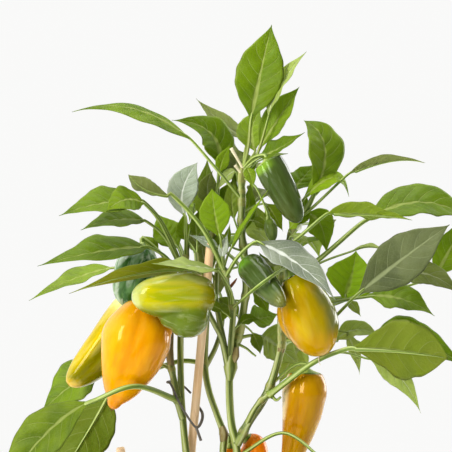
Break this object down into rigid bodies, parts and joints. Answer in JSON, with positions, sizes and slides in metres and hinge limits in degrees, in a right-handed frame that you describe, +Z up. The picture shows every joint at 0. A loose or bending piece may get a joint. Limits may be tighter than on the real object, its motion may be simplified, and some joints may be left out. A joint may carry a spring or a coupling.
{
  "type": "potted chilli pepper plant",
  "caption": "Leafy pepper plant with green, yellow and orange fruits, tied to a cane in a plain round pot of soil.",
  "frame": {"origin": "centre of the pot's flat base, on the surface it stands on", "axes": "+Z up, +X to the right and -Y towards the viewer of the front"},
  "size_m": [0.325, 0.205, 0.4774],
  "materials": {
    "pot": "plain satin plastic",
    "soil": "moist fibrous potting mix",
    "cane": "bare cane",
    "tie": "plastic-coated wire",
    "leafy_stem": "semi-matt leaf",
    "fruit_green": "glossy fruit skin",
    "fruit_lime": "glossy fruit skin",
    "fruit_yellow": "glossy fruit skin",
    "fruit_orange": "glossy fruit skin"
  },
  "bodies": {
    "root": {"pot": "pot", "soil": "soil", "cane_long": "cane", "cane_short": "cane", "tie_wire": "tie", "left_stem": "leafy_stem", "middle_stem": "leafy_stem", "centre_stem": "leafy_stem", "right_stem": "leafy_stem", "pepper_green_top": "fruit_green", "pepper_green_bud": "fruit_green", "pepper_green_mid": "fruit_green", "pepper_dark_green": "fruit_green", "pepper_lime": "fruit_lime", "pepper_gold": "fruit_lime", "pepper_yellow": "fruit_yellow", "pepper_amber": "fruit_yellow", "pepper_orange": "fruit_orange", "pepper_orange_low": "fruit_orange", "pepper_orange_rear": "fruit_orange"}
  },
  "joints": []
}
